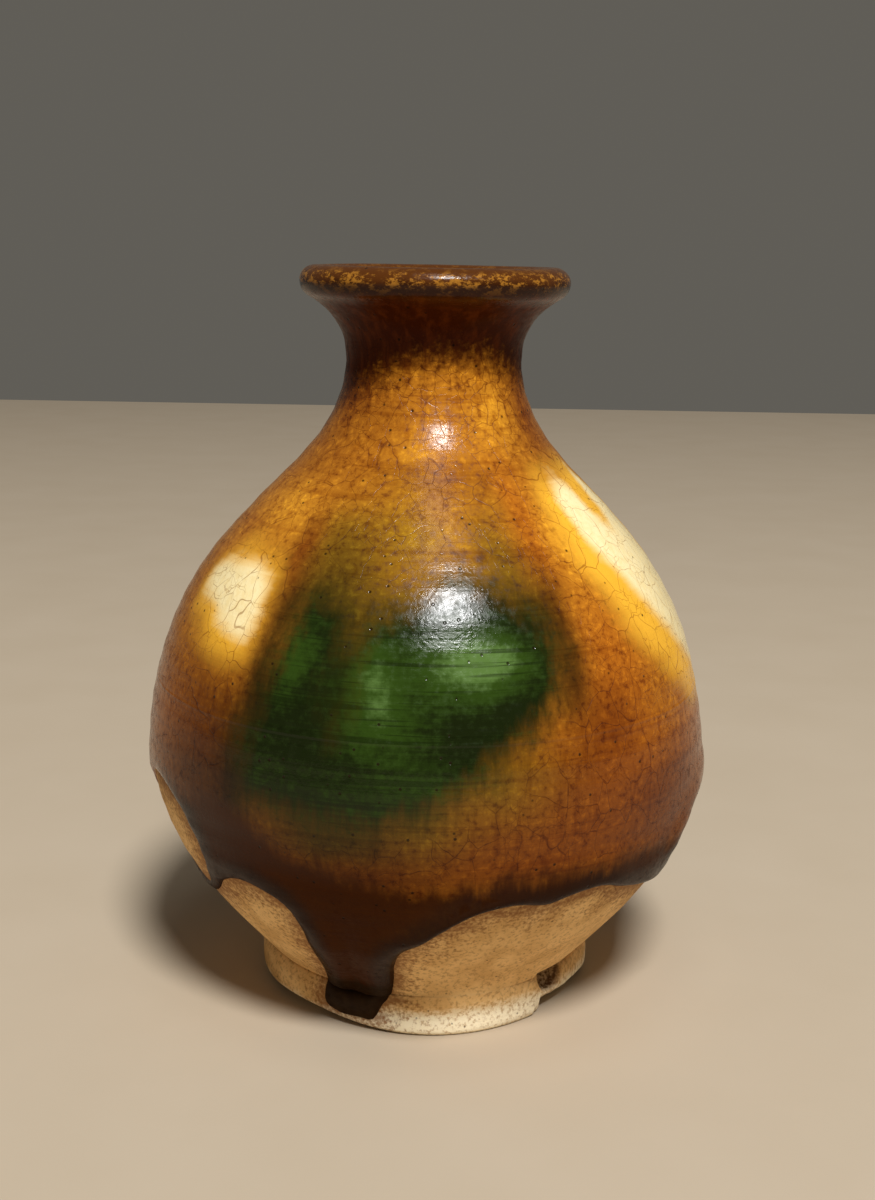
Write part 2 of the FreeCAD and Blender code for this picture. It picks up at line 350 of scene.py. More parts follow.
def coat_distance(places):
    """How far each place lies inside the glaze coat, in millimetres."""
    distance = signed_distance(azimuth_of(places) * MM_PER_DEGREE, places[:, 2], coat_shape)
    for centre, outline in BARE_PLACES:
        distance = np.minimum(distance, -patch_distance(places, centre, outline))
    return distance


def ruffled(places, size, seed):
    """Smooth noise between -1 and 1 with features of a size in millimetres."""
    return np.array([noise.noise(Vector(place) / size + Vector((seed, 0, 0))) for place in places.tolist()])


def keep(mesh, name, values):
    """Stores one number for each vertex, for the finishes to read."""
    mesh.attributes.new(name, "FLOAT", "POINT").data.foreach_set("value", np.asarray(values, np.float32))


# %% [markdown]
# ## The clay
# Four pieces of clay were joined while they were leather-hard: the bowl, the dome, the neck with its
# lip, and the foot ring. Each is turned as its own closed section with a real wall, and meets the
# next at a flat joint, as the frame's solids do.

# %% The thrown bowl
CLAY_STEPS = 288


def clay_piece(section, name, node, near=None):
    bm = turn(section, CLAY_STEPS)
    if near:
        refine(bm, near, 2.0, 1)
    piece = make_piece(bm, name)
    places = places_of(piece.data)
    keep(piece.data, "edge", coat_distance(places))
    move_to(piece.data, bend_by_hand(places))
    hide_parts(node)
    return piece


floor_round = [(0.0, FLOOR_HEIGHT), (10.0, FLOOR_HEIGHT), (19.0, FLOOR_HEIGHT + 0.2),
               (24.5, FLOOR_HEIGHT + 2.9)]
bowl_inside = np.vstack([flowing(floor_round, 2.5), part_of(inside_line, FLOOR_HEIGHT + 6, SEAM_HEIGHT, 4)])
underside = [(radius, FOOT_TOP) for radius in (0.01, 8.0, 16.0, 22.0, 25.0)]
bowl_section = np.vstack([underside, part_of(outside_line, FOOT_TOP, SEAM_HEIGHT), bowl_inside[::-1]])
bowl_section[0, 0] = 0.0
bowl = clay_piece(bowl_section, "thrown_bowl", "lower_bowl")

# %% The dome, and the neck with its rolled lip
dome_section = np.vstack([part_of(outside_line, SEAM_HEIGHT, ROOT_HEIGHT, 3),
                          part_of(inside_line, SEAM_HEIGHT, ROOT_HEIGHT, 4)[::-1]])
dome = clay_piece(dome_section, "thrown_dome", "upper_dome")

above_root = inside_line[:, 1] > ROOT_HEIGHT + 0.3
mouth_inside = inside_line[above_root & (inside_line[:, 1] < IN_LIP[1] - 2.2)][::3]
root_inside = np.interp(ROOT_HEIGHT, inside_line[:, 1], inside_line[:, 0])
neck_outside = part_of(outside_line, ROOT_HEIGHT, UNDER_LIP[1])
neck_section = np.vstack([neck_outside[:-1], lip_line, mouth_inside[::-1], [[root_inside, ROOT_HEIGHT]]])
neck = clay_piece(neck_section, "thrown_neck", "neck_and_mouth")

# %% [markdown]
# ## The foot ring
# The ring stands proud of the bowl on the left, where the joint was never smoothed over. On the
# right a flake is lost from its resting edge, and a pit above it runs out in a crack along the joint.
# The turned ring gets these by moving its points, after the mesh is cut finer where they are.

# %% The foot ring and its damage
RECESS_RADIUS = corner("foot_ring", 1, 0) - 6.35
FOOT_SIDE = [(26.9, 0.0), (27.6, 0.45), (28.0, 1.3), (FOOT_RADIUS, 3.4), (28.1, 5.4), (27.8, 6.6)]
PIT_AZIMUTH, PIT_HEIGHT, PIT_SIZE = 49.0, 6.2, 3.4


def foot_damage_distance(places):
    azimuth = azimuth_of(places)
    near_pit = np.hypot(turned_by(azimuth, PIT_AZIMUTH) * 0.5, places[:, 2] - PIT_HEIGHT) - 4.0
    near_step = np.abs(turned_by(azimuth, 43.0)) * 0.5 - 1.0
    outer = np.where(np.hypot(places[:, 0], places[:, 1]) > 24.0, 0.0, 50.0)
    return np.maximum(np.minimum(near_pit, near_step), 0) + outer


foot_side = flowing(FOOT_SIDE, 0.6)
foot_top = [(27.4, FOOT_TOP), (25.0, FOOT_TOP), (RECESS_RADIUS, FOOT_TOP)]
foot_inner = [(RECESS_RADIUS, 4.5), (RECESS_RADIUS, 2.0), (RECESS_RADIUS + 0.2, 0.5),
              (RECESS_RADIUS + 0.8, 0.0), (24.0, 0.0), (25.6, 0.0)]
foot_bm = turn(np.vstack([foot_side, foot_top, foot_inner]), CLAY_STEPS)
refine(foot_bm, foot_damage_distance, 1.5, 2)
foot = make_piece(foot_bm, "luted_foot_ring", sharp_angle=60)
places = places_of(foot.data)
azimuth = azimuth_of(places)
radius = np.hypot(places[:, 0], places[:, 1])
keep(foot.data, "edge", coat_distance(places))

outward = np.zeros(len(places))
side = np.clip((radius - 26.0) / 1.5, 0, 1)
outward += 0.45 * side * bell(turned_by(azimuth, -52), 0, 20) * np.clip((6.3 - places[:, 2]) / 0.8, 0, 1)
outward += 0.22 * side * np.cos(np.radians(3 * azimuth + 40))
pit = np.hypot(turned_by(azimuth, PIT_AZIMUTH) * 0.5, (places[:, 2] - PIT_HEIGHT) * 1.1) / PIT_SIZE
outward -= 2.8 * side * np.clip(1 - pit ** 2, 0, 1) ** 0.5
crack = bell(places[:, 2], 6.2 + 0.05 * turned_by(azimuth, 50), 0.35) * bell(turned_by(azimuth, 51), 0, 5)
outward -= 1.0 * side * crack
worn = bell(turned_by(azimuth, -48), 0, 27) * 1.7
flake = 1.7 * np.clip((turned_by(azimuth, 43.0)) / 0.8, 0, 1) * np.clip(-turned_by(azimuth, 84.0) / 14, 0, 1)
flake *= 1 + 0.25 * ruffled(places, 2.0, 3.1)
lift = np.maximum(worn, flake) * np.clip((radius - 24.4) / 1.6, 0, 1)
lift = lift * np.clip((3.6 - places[:, 2]) / 3.6, 0, 1)
outward -= 0.7 * np.clip(flake - 0.4, 0, 1) * side * np.clip((2.6 - places[:, 2]) / 2.0, 0, 1)
keep(foot.data, "damage", np.clip(-outward / 1.2, 0, 1) * side)
places[:, :2] *= (1 + outward / np.maximum(radius, 1))[:, None]
places[:, 2] += lift
move_to(foot.data, bend_by_hand(places))
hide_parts("foot_ring")

# %% [markdown]
# ## The lining
# The inside is glazed too, or the bottle would weep. It is one thin closed skin against the clay,
# from the floor up to the inside of the lip.

# %% The glaze inside
LINING = 0.3
floor_skin = flowing([(0.0, FLOOR_HEIGHT), (10.0, FLOOR_HEIGHT), (19.0, FLOOR_HEIGHT + 0.2),
                      (24.5, FLOOR_HEIGHT + 2.9)], 2.5)
lining_outer = np.vstack([floor_skin, inside_line[(inside_line[:, 1] > FLOOR_HEIGHT + 6)
                                                  & (inside_line[:, 1] < IN_LIP[1] - 2.2)][::3], [IN_LIP]])
lining_inner = lining_outer - square_to(lining_outer) * LINING
lining_inner[0, 0] = 0.0
lining_section = np.vstack([lining_outer, lining_inner[::-1]])
lining = make_piece(turn(lining_section, 240), "inside_lining")
move_to(lining.data, bend_by_hand(places_of(lining.data)))
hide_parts("inner_glaze")

# %% [markdown]
# ## The glaze coat
# A second skin is turned over the clay, from below the drip up over the lip. It is cut finer near
# the coat's edge and given an inner side. Then its outer points are lifted by the thickness of the
# glaze: an even film on the body, a fat bead along the edge, a dome across the drip, and below
# nothing where the clay is bare, so that the bead meets the clay at a real angle.

# %% How thick the glaze lies
FILM = 0.36
SUNK = -0.34
BEAD_AROUND = [(-180, 0.9), (-130, 1.1), (-90, 0.7), (-60, 0.5), (-40, 0.55), (-25, 0.9), (-6, 1.5), (4, 2.2),
               (14, 2.0), (28, 1.3), (65, 1.1), (100, 0.9), (141, 1.3), (180, 0.9)]
DRIP_AZIMUTH = -20.0


def glaze_thickness(places, distance):
    azimuth = azimuth_of(places)
    drip = bell(turned_by(azimuth, DRIP_AZIMUTH), 0, 16) * np.clip((24 - places[:, 2]) / 6, 0, 1)
    bead = np.interp(azimuth, *zip(*BEAD_AROUND)) * (1 + 0.22 * ruffled(places, 9.0, 7.7))
    bead = bead * (1 - drip) + 1.45 * drip
    rise = 1.5 * (1 - drip) + 4.2 * drip
    climb = np.clip(distance / rise, 0, 1)
    dome = np.sqrt(np.clip(1 - (1 - climb) ** 2, 0, 1)) * bead
    roll_width = 3.4 - 2.4 * bell(turned_by(azimuth, 8), 0, 17)
    settle = np.exp(-(np.clip(distance - rise, 0, 60) / roll_width) ** 2)
    body = FILM * (1 + 0.35 * ruffled(places, 14.0, 2.2))
    above = body + (bead - body) * settle
    thickness = np.where(distance < rise, dome, above)
    return np.where(distance < 0, np.maximum(distance, SUNK), thickness)


# %% The coat's skin
coat_foot = flowing(FOOT_SIDE, 1.0)[1:]
coat_start = coat_foot[coat_foot[:, 1] > 1.4]
coat_wall = part_of(outside_line, FOOT_TOP, UNDER_LIP[1])
coat_lip = lip_line[1:]
coat_line = np.vstack([coat_start, coat_wall, coat_lip])
coat_bm = turn(coat_line, 260, closed=False)
refine(coat_bm, coat_distance, 2.6, 1)
refine(coat_bm, coat_distance, 1.2, 1)

coat_bm.verts.ensure_lookup_table()
coat_places = np.array([v.co for v in coat_bm.verts]) / MM
hidden = coat_distance(coat_places) < -1.2
for vert, is_hidden in zip(coat_bm.verts, hidden):
    vert.tag = bool(is_hidden)
bmesh.ops.delete(coat_bm, geom=[f for f in coat_bm.faces if all(v.tag for v in f.verts)], context="FACES")
coat_bm.normal_update()
outside_layer = coat_bm.verts.layers.float.new("outside")
square_layer = coat_bm.verts.layers.float_vector.new("square")
for vert in coat_bm.verts:
    vert[square_layer] = vert.normal
skin = bmesh.ops.extrude_face_region(coat_bm, geom=coat_bm.faces[:], use_keep_orig=True)
for item in skin["geom"]:
    if isinstance(item, bmesh.types.BMVert):
        item[outside_layer] = 1.0
bmesh.ops.recalc_face_normals(coat_bm, faces=coat_bm.faces[:])
coat = make_piece(coat_bm, "glaze_coat", sharp_angle=75)

# %% Lift the skin by the glaze's thickness
UNDER_SKIN = 0.6
mesh = coat.data
base = places_of(mesh)
count = len(mesh.vertices)
is_outer = np.empty(count, np.float32)
mesh.attributes["outside"].data.foreach_get("value", is_outer)
square = np.empty(count * 3, np.float32)
mesh.attributes["square"].data.foreach_get("vector", square)
square = square.reshape(-1, 3)
if np.mean(np.sum(square * base, axis=1)) < 0:
    square = -square
edge_distance = coat_distance(base)
thickness = glaze_thickness(base, edge_distance)
lift = np.where(is_outer > 0.5, thickness, -UNDER_SKIN)
move_to(mesh, bend_by_hand(base + square * lift[:, None]))
for name in ("outside", "square"):
    mesh.attributes.remove(mesh.attributes[name])
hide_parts("amber_glaze", "green_glaze", "cream_glaze", "brown_neck_glaze", "glaze_roll", "glaze_drip")
print("glaze from", round(float(thickness.min()), 2), "to", round(float(thickness.max()), 2), "mm")

# %% [markdown]
# ## Where each colour lies
# The colours were splashed on and ran together. Each is drawn as an outline on the wall, in degrees
# and millimetres, and kept as a distance on the coat's points. The finish turns that distance into a
# soft or a sharp border. Broad differences of tone are washes: soft spots of one colour over another.

# %% Outlines of the colours
GREEN_OUTLINE = [(-27, 73), (-31, 68), (-33.5, 60), (-36, 52), (-37, 45), (-26, 41.5), (-8, 41.5), (1, 43.5),
                 (9, 47), (16, 51.5), (24, 57), (28.5, 63), (27.5, 68), (21, 72.5), (8, 75), (-6, 71.5),
                 (-16, 70)]
GAP_OUTLINE = [(-20.5, 78), (-20.5, 66), (-20, 56), (-18, 51), (-15, 54), (-13.5, 62), (-10, 68), (-6, 76)]
CREAM_LEFT = [(-14, 71.5), (-10, 74), (0, 75), (8, 74.8), (13, 72.6), (13.6, 68.5), (12.4, 65.2), (3, 66),
              (-5, 67.8), (-12, 69.6)]
CREAM_RIGHT = [(-18.5, 84), (-15, 87.2), (-9, 87.6), (-4.5, 86), (-2, 82.5), (4, 80), (7, 83.5), (12, 88),
               (20, 84), (22, 72), (20, 60), (13, 57), (6, 60.5), (-1, 64.5), (-7, 69.5), (-12, 74.5),
               (-16.5, 79)]
CREAM_BACK = [(-16, 74), (-10, 66), (2, 61), (14, 65), (15, 74), (4, 81), (-9, 80)]
CREAM_PATCHES = [(-54, CREAM_LEFT), (67, CREAM_RIGHT), (168, CREAM_BACK)]
YELLOW_RIGHT = [(-27, 84), (-24, 88), (-16, 89), (-6, 89), (12, 90), (26, 84), (28, 62), (22, 50), (8, 51.5),
                (-3, 56), (-12, 61.5), (-19, 67), (-24, 74)]
YELLOW_LEFT = [(-16, 72), (-10, 76), (6, 77), (14, 75), (15.5, 68), (13.5, 62), (4, 61), (-8, 64.5),
               (-16, 69)]
YELLOW_BACK = [(-20, 76), (-12, 62), (2, 54), (18, 60), (20, 76), (4, 84), (-12, 83)]
YELLOW_PATCHES = [(-54, YELLOW_LEFT), (67, YELLOW_RIGHT), (168, YELLOW_BACK)]
GREEN_RIGHT = [(-14, 70), (-16, 56), (-12, 44), (2, 41), (13, 50), (14, 64), (3, 72)]
GREEN_LEFT = [(-13, 66), (-15, 50), (-6, 40), (8, 43), (15, 56), (9, 69), (-3, 72)]
GREEN_PATCHES = [(0, GREEN_OUTLINE), (118, GREEN_RIGHT), (-128, GREEN_LEFT)]
DARK_LINE = [(-180, 31), (-130, 27), (-95, 27), (-75, 34), (-66, 40), (-54, 39.5), (-44, 41), (-36, 39),
             (-28, 35), (-15, 33), (-3, 30), (6, 31), (14, 32.2), (30, 32.6), (50, 32.4), (62, 31),
             (74, 29.2), (95, 28), (120, 31), (141, 27), (180, 31)]
NECK_EDGE = [(-180, 103), (-120, 101), (-60, 100.5), (-40, 102.5), (-20, 105), (0, 106), (30, 106.3),
             (60, 103.5), (100, 102), (140, 104.5), (180, 103)]


def patches(places, shapes):
    distance = np.full(len(places), -60.0)
    for centre, outline in shapes:
        distance = np.maximum(distance, patch_distance(places, centre, outline))
    return distance


wander = np.stack([ruffled(base, 6.0, seed) for seed in (11.0, 23.0, 37.0)], axis=1)
strayed = base + wander * 0.9
azimuth = azimuth_of(base)
keep(mesh, "edge", edge_distance)
gap = patch_distance(strayed, 0, GAP_OUTLINE)
keep(mesh, "green", np.minimum(patches(strayed, GREEN_PATCHES), 2.0 - gap))
keep(mesh, "cream", patches(strayed, CREAM_PATCHES))
keep(mesh, "yellow", patches(strayed, YELLOW_PATCHES))
keep(mesh, "dark", np.interp(azimuth, *zip(*DARK_LINE)) - base[:, 2])
keep(mesh, "neck", base[:, 2] - np.interp(azimuth, *zip(*NECK_EDGE)))

# The thick dark glaze low down and round the neck is duller, by height and the same all round.
lower = np.clip((38 - base[:, 2]) / 8, 0, 1) * (1 - 0.4 * bell(edge_distance, 2.2, 1.8))
throat_band = np.clip((base[:, 2] - 99) / 5, 0, 1) * np.clip(115.5 - base[:, 2], 0, 1)
keep(mesh, "dull", np.maximum(lower, 0.9 * throat_band))

# %% Washes: (azimuth, height, degrees wide, millimetres tall, colour, strength)
GOLDEN = (0.45, 0.165, 0.012)
AMBER = (0.29, 0.092, 0.007)
LIGHT_GOLD = (0.74, 0.33, 0.022)
ORANGE = (0.42, 0.115, 0.007)
RUST = (0.17, 0.038, 0.003)
BROWN = (0.095, 0.022, 0.002)
BLACKISH = (0.014, 0.003, 0.001)
OLIVE = (0.29, 0.145, 0.008)
DIM_OLIVE = (0.15, 0.080, 0.005)
DARK_OLIVE = (0.030, 0.022, 0.002)
GREEN_BLACK = (0.012, 0.018, 0.002)

WASHES = [
    (-58, 100, 24, 6, RUST, 0.9), (-58, 92, 24, 6, AMBER, 0.8), (-26, 96, 14, 5, AMBER, 0.6),
    (36, 97, 11, 5, LIGHT_GOLD, 0.8), (64, 95, 14, 8, AMBER, 0.9), (-9, 92, 8, 3, LIGHT_GOLD, 0.45),
    (30, 91.5, 7, 2.5, GOLDEN, 0.6), (44, 92, 12, 3, AMBER, 0.5), (0, 88, 46, 2.8, AMBER, 0.75),
    (-52, 83, 12, 4, LIGHT_GOLD, 0.45), (30, 80, 7, 9, ORANGE, 0.85),
    (-6, 80, 17, 7, OLIVE, 0.85), (19, 78, 8, 7, DIM_OLIVE, 0.8), (-26, 79, 11, 5, DIM_OLIVE, 0.8),
    (-25, 73, 14, 6, DARK_OLIVE, 0.75), (-3, 71, 22, 5, DIM_OLIVE, 0.8),
    (0, 48, 400, 9, ORANGE, 0.75), (0, 35, 400, 8, RUST, 0.85),
    (42, 60, 10, 14, ORANGE, 0.8), (60, 54, 12, 6, GOLDEN, 0.5), (38, 54, 8, 7, RUST, 0.9),
    (40, 79, 5, 5, LIGHT_GOLD, 0.7), (66, 98, 12, 8, RUST, 0.7),
    (52, 42, 24, 7, RUST, 0.9), (60, 40, 20, 8, BROWN, 0.45), (64, 53, 14, 8, RUST, 0.25),
    (29.5, 69, 4, 7, BROWN, 0.85), (30, 60, 4, 6, BLACKISH, 0.8),
    (27, 47, 14, 7, RUST, 0.75), (12, 41, 22, 6, RUST, 0.7), (13, 48, 13, 7, DIM_OLIVE, 0.8),
    (-17.5, 61, 8, 12, GREEN_BLACK, 1.0), (24, 71, 8, 5, DARK_OLIVE, 0.75),
    (-62, 56, 18, 9, RUST, 0.45), (-48, 50, 14, 10, BROWN, 0.9), (-50, 43, 18, 6, BLACKISH, 0.7),
    (-39, 44, 6, 10, BLACKISH, 0.9), (-33, 70, 3, 6, BLACKISH, 0.7), (-35, 58, 4, 8, BLACKISH, 0.9),
    (-37, 78, 4, 5, RUST, 0.8), (-22, 52, 16, 11, GREEN_BLACK, 0.9), (-16, 38, 18, 6, DARK_OLIVE, 0.85),
    (-9, 33, 9, 3, BROWN, 0.7), (0, 42, 8, 5, DIM_OLIVE, 0.7), (-100, 52, 26, 16, RUST, 0.8),
    (100, 46, 26, 12, RUST, 0.8), (104, 88, 16, 8, AMBER, 0.7), (-108, 86, 18, 8, LIGHT_GOLD, 0.4)]
MILKY = [(-10, 60.5, 5, 5, 1.1), (3, 62, 9, 5, 0.45), (10, 64.5, 8, 4, 1.15), (-27, 63, 3.5, 5, 0.65),
         (-9, 54, 7, 3, 0.5), (17, 65, 5, 3, 0.5), (2, 48, 12, 3, 0.3), (118, 60, 8, 8, 0.9),
         (-126, 55, 8, 8, 0.9)]


def washed(places):
    azimuth, height = azimuth_of(places), places[:, 2]
    tint = np.tile(np.array(GOLDEN), (len(places), 1))
    for centre, middle, wide, tall, shade, strength in WASHES:
        cover = strength * bell(turned_by(azimuth, centre), 0, wide) * bell(height, middle, tall)
        tint += (np.array(shade) - tint) * cover[:, None]
    return tint


def milkiness(places):
    azimuth, height = azimuth_of(places), places[:, 2]
    return sum(strength * bell(turned_by(azimuth, centre), 0, wide) * bell(height, middle, tall)
               for centre, middle, wide, tall, strength in MILKY)


wash = np.ones((count, 4), np.float32)
wash[:, :3] = washed(base + wander * 1.2)
mesh.attributes.new("wash", "FLOAT_COLOR", "POINT").data.foreach_set("color", wash.ravel())
keep(mesh, "milky", milkiness(base + wander * 1.2))
print("washes", len(WASHES))

# %% [markdown]
# ## Writing finishes as maths
# A shader is a sum of masks and patterns, so it reads best as an expression. `Wire` wraps a socket:
# maths written on it adds the Math nodes. `Finish.add` makes any other node from its type, its
# settings and its sockets.

# %% Shader maths
class Wire:
    """One node output, or any number that comes from it."""

    def __init__(self, finish, socket):
        self.finish, self.socket = finish, socket

    def __add__(self, other):
        return self.finish.sum_of("ADD", self, other)

    def __sub__(self, other):
        return self.finish.sum_of("SUBTRACT", self, other)

    def __rsub__(self, other):
        return self.finish.sum_of("SUBTRACT", other, self)

    def __mul__(self, other):
        return self.finish.sum_of("MULTIPLY", self, other)

    __radd__ = __add__
    __rmul__ = __mul__


class Finish:
    """A material whose nodes are added by short calls."""

    def __init__(self, name, **sockets):
        self.material = bpy.data.materials.new(name)
        self.material.use_nodes = True
        self.nodes, self.links = self.material.node_tree.nodes, self.material.node_tree.links
        self.shader = next(n for n in self.nodes if n.type == "BSDF_PRINCIPLED")
        for socket, value in sockets.items():
            self.shader.inputs[socket.replace("_", " ")].default_value = value

    def add(self, kind, settings=None, inputs=None, out=0):
        node = self.nodes.new(kind)
        for key, value in (settings or {}).items():
            setattr(node, key, value)
        for key, value in (inputs or {}).items():
            self.plug(node.inputs[key], value)
        return Wire(self, node.outputs[out])

    def plug(self, socket, value):
        if isinstance(value, Wire):
            self.links.new(value.socket, socket)
        else:
            socket.default_value = value

    def sum_of(self, operation, first, second):
        return self.add("ShaderNodeMath", {"operation": operation}, {0: first, 1: second})

    def step(self, value, low, high):
        """0 below low, 1 above high and smooth between; low may be the larger."""
        inputs = {"Value": value, "From Min": low, "From Max": high}
        return self.add("ShaderNodeMapRange", {"interpolation_type": "SMOOTHSTEP", "clamp": True}, inputs)

    def mix(self, factor, first, second, blend="MIX"):
        settings = {"data_type": "RGBA", "blend_type": blend}
        return self.add("ShaderNodeMix", settings, {0: factor, 6: colour(first), 7: colour(second)}, out=2)

    def kept(self, name, out="Fac"):
        return self.add("ShaderNodeAttribute", {"attribute_name": name}, out=out)

    def place(self, scale=(1, 1, 1), turn=(0, 0, 0)):
        """Object coordinates in millimetres, stretched or turned."""
        where = self.add("ShaderNodeTexCoord", out="Object")
        sizes = [value / MM for value in scale]
        return self.add("ShaderNodeMapping", {"vector_type": "POINT"},
                        {"Vector": where, "Scale": sizes, "Rotation": turn})

    def noise(self, size, detail=3.0, rough=0.5, scale=(1, 1, 1), turn=(0, 0, 0)):
        return self.add("ShaderNodeTexNoise", {}, {"Vector": self.place(scale, turn), "Scale": 1 / size,
                                                   "Detail": detail, "Roughness": rough})

    def cells(self, size, feature, scale=(1, 1, 1), stray=0.0, turn=(0, 0, 0)):
        """A Voronoi pattern with cells of a size in millimetres, its lines bent by noise."""
        where = self.place(scale, turn)
        if stray:
            inputs = {"Vector": where, "Scale": 0.7 / size, "Detail": 2.0}
            bend = self.add("ShaderNodeTexNoise", {}, inputs, out=1)
            bend = self.add("ShaderNodeVectorMath", {"operation": "SCALE"}, {0: bend, "Scale": stray * size})
            where = self.add("ShaderNodeVectorMath", {"operation": "ADD"}, {0: where, 1: bend})
        return self.add("ShaderNodeTexVoronoi", {"feature": feature}, {"Vector": where, "Scale": 1 / size})

    def bump(self, height, distance, strength=1.0):
        inputs = {"Height": height, "Distance": distance * MM, "Strength": strength}
        return self.add("ShaderNodeBump", {}, inputs)

    def feed(self, **wires):
        for socket, wire in wires.items():
            self.links.new(wire.socket, self.shader.inputs[socket.replace("_", " ")])
        return self.material


def colour(value):
    return value if isinstance(value, Wire) else (*value, 1.0)


# %% [markdown]
# ## The glaze's finish
# From below upwards: the wash, then vertical runs in it, then green, cream and iron brown over it,
# darkening where the glaze is thick, a net of fine crackle, pinholes where bubbles burst, and the
# gloss, which is broken up by a skin of tiny wrinkles. Where the glaze is thick and dark, low down
# and round the neck, a much duller finish is mixed in.

# %% Colours of the glaze
def glaze_tone(finish, grain, cloud, runs, lines, height):
    tone = finish.kept("wash", "Color")
    tone = finish.mix(finish.step(runs, 0.48, 0.72), tone, (0.76, 0.66, 0.58), "MULTIPLY")
    tone = finish.mix(finish.step(lines, 0.52, 0.68), tone, (0.80, 0.72, 0.66), "MULTIPLY")
    tone = finish.mix(finish.step(grain, 0.50, 0.74), tone, (0.50, 0.36, 0.28), "MULTIPLY")
    tone = finish.mix(finish.step(grain, 0.48, 0.28), tone, (1.40, 1.55, 1.45), "MULTIPLY")

    milky = finish.kept("milky") + (cloud - 0.5) * 0.7 + (lines - 0.5) * 1.1 + (grain - 0.5) * 0.8
    leaf = finish.mix(finish.step(milky, -0.1, 0.6), (0.008, 0.013, 0.002), (0.024, 0.052, 0.005))
    leaf = finish.mix(finish.step(milky, 0.6, 1.3), leaf, (0.090, 0.165, 0.038))
    leaf = finish.mix(finish.step(lines, 0.52, 0.62) * 0.65, leaf, (0.005, 0.008, 0.001))
    leafy = finish.step(finish.kept("green") + (cloud - 0.5) * 3.0 + (runs - 0.5) * 4.0, -4.5, 3.5)
    tone = finish.mix(leafy, tone, leaf)

    pale = finish.mix(finish.step(grain, 0.40, 0.62) * 0.30, (0.96, 0.80, 0.44), (0.84, 0.60, 0.22))
    stray = (cloud - 0.5) * 2.0 + (grain - 0.5) * 1.6 + (lines - 0.5) * 2.0
    tone = finish.mix(finish.step(finish.kept("yellow") + stray, -2.5, 4.5) * 0.92, tone, (0.90, 0.47, 0.036))
    tone = finish.mix(finish.step(finish.kept("cream") + stray, -1.8, 2.2), tone, pale)

    iron = finish.mix(finish.step(runs, 0.42, 0.70), (0.045, 0.008, 0.001), (0.090, 0.019, 0.002))
    banded = finish.kept("neck") + (runs - 0.5) * 6.0 + (grain - 0.5) * 9.0
    tone = finish.mix(finish.step(banded, -5.0, 3.4), tone, iron)
    # The rolled lip is darker below about 117 mm and lighter above, with gold flecks strongest in a band
    # along its top: partly the glaze's own tone, partly painted shade under the roll and a painted highlight
    # along its top.
    fleck = finish.step(finish.noise(1.3, 5.0, 0.8, scale=(0.7, 0.7, 1.3)), 0.49, 0.60)
    gold_and_highlight_band = finish.step(height, 116.8, 117.8) * finish.step(height, 119.5, 118.9)
    crest = finish.step(height + (cloud - 0.5) * 2.5, 116.8, 118.4)
    rim = finish.mix(crest, (0.022, 0.005, 0.001), (0.080, 0.024, 0.004))
    rim = finish.mix(fleck * (0.18 + gold_and_highlight_band * 0.62), rim, (0.400, 0.170, 0.020))
    return finish.mix(finish.step(height, 115.2, 116.6), tone, rim)


